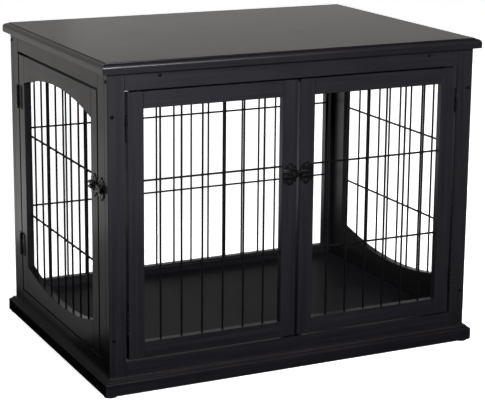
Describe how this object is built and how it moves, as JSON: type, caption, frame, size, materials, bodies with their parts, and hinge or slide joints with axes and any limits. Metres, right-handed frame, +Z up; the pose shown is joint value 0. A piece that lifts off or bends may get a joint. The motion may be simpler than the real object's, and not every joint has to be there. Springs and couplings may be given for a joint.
{
  "type": "furniture dog crate",
  "caption": "Lacquered wooden end-table dog crate with wire panels, a pair of front doors and an arched side door, each held by a slide bolt.",
  "frame": {"origin": "on the floor, under the middle of the table top and base moulding", "axes": "+Z up; the double doors face -Y; +X to the right as seen from the front, so the side door is on -X"},
  "size_m": [0.838, 0.606, 0.657],
  "materials": {
    "lacquered_top": "black satin lacquer over solid board, faint grain",
    "lacquered_frame": "black satin lacquer on sanded wood framing",
    "lacquered_floor": "black gloss lacquered board",
    "black_wire": "black powder-coated steel wire",
    "black_hardware": "black enamelled pressed steel",
    "black_screw": "black oxide steel screw",
    "rubber_pad": "black rubber foot pad"
  },
  "bodies": {
    "carcass": {"top_panel": "lacquered_top", "front_left_stile": "lacquered_frame", "front_right_stile": "lacquered_frame", "front_top_rail": "lacquered_frame", "front_bottom_rail": "lacquered_frame", "back_left_stile": "lacquered_frame", "back_right_stile": "lacquered_frame", "back_top_rail": "lacquered_frame", "back_bottom_rail": "lacquered_frame", "back_wire_grille": "black_wire", "left_front_stile": "lacquered_frame", "left_rear_stile": "lacquered_frame", "left_top_rail": "lacquered_frame", "left_bottom_rail": "lacquered_frame", "right_front_stile": "lacquered_frame", "right_rear_stile": "lacquered_frame", "right_arched_top_rail": "lacquered_frame", "right_dipped_bottom_rail": "lacquered_frame", "right_wire_grille": "black_wire", "floor_panel": "lacquered_floor", "floor_cleats": "lacquered_frame", "base_front_moulding": "lacquered_frame", "base_back_moulding": "lacquered_frame", "base_left_moulding": "lacquered_frame", "base_right_moulding": "lacquered_frame", "foot_pads": "rubber_pad", "frame_screws": "black_screw", "door_stops": "lacquered_frame", "front_hinge_post_leaves": "black_hardware", "side_hinge_frame_leaves": "black_hardware", "hinge_pins": "black_hardware", "side_bolt_keeper": "black_hardware", "carcass_small_screws": "black_screw"},
    "left_door": {"left_door_hinge_stile": "lacquered_frame", "left_door_latch_stile": "lacquered_frame", "left_door_top_rail": "lacquered_frame", "left_door_bottom_rail": "lacquered_frame", "left_door_wire_grille": "black_wire", "left_door_hinge_leaves": "black_hardware", "left_door_screws": "black_screw", "front_bolt_plate": "black_hardware"},
    "right_door": {"right_door_hinge_stile": "lacquered_frame", "right_door_latch_stile": "lacquered_frame", "right_door_top_rail": "lacquered_frame", "right_door_bottom_rail": "lacquered_frame", "right_door_wire_grille": "black_wire", "right_door_hinge_leaves": "black_hardware", "right_door_screws": "black_screw", "front_bolt_keeper": "black_hardware"},
    "side_door": {"side_door_hinge_stile": "lacquered_frame", "side_door_latch_stile": "lacquered_frame", "side_door_arched_top_rail": "lacquered_frame", "side_door_dipped_bottom_rail": "lacquered_frame", "side_door_wire_grille": "black_wire", "side_door_hinge_leaves": "black_hardware", "side_door_screws": "black_screw", "side_bolt_plate": "black_hardware"},
    "front_bolt_bar": {"front_bolt": "black_hardware"},
    "side_bolt_bar": {"side_bolt": "black_hardware"}
  },
  "joints": [
    {"name": "left_door_hinge", "type": "hinge", "parent": "carcass", "child": "left_door", "pos_m": [-0.36775, -0.2924, 0.335], "axis": [0, 0, -1], "range_deg": [0, 170]},
    {"name": "right_door_hinge", "type": "hinge", "parent": "carcass", "child": "right_door", "pos_m": [0.36775, -0.2924, 0.335], "axis": [0, 0, 1], "range_deg": [0, 170]},
    {"name": "side_door_hinge", "type": "hinge", "parent": "carcass", "child": "side_door", "pos_m": [-0.4086, 0.23725, 0.335], "axis": [0, 0, -1], "range_deg": [0, 170]},
    {"name": "front_bolt_slide", "type": "slide", "parent": "left_door", "child": "front_bolt_bar", "axis": [-1, 0, 0], "range_m": [0, 0.019]},
    {"name": "side_bolt_slide", "type": "slide", "parent": "side_door", "child": "side_bolt_bar", "axis": [0, 1, 0], "range_m": [0, 0.019]}
  ]
}
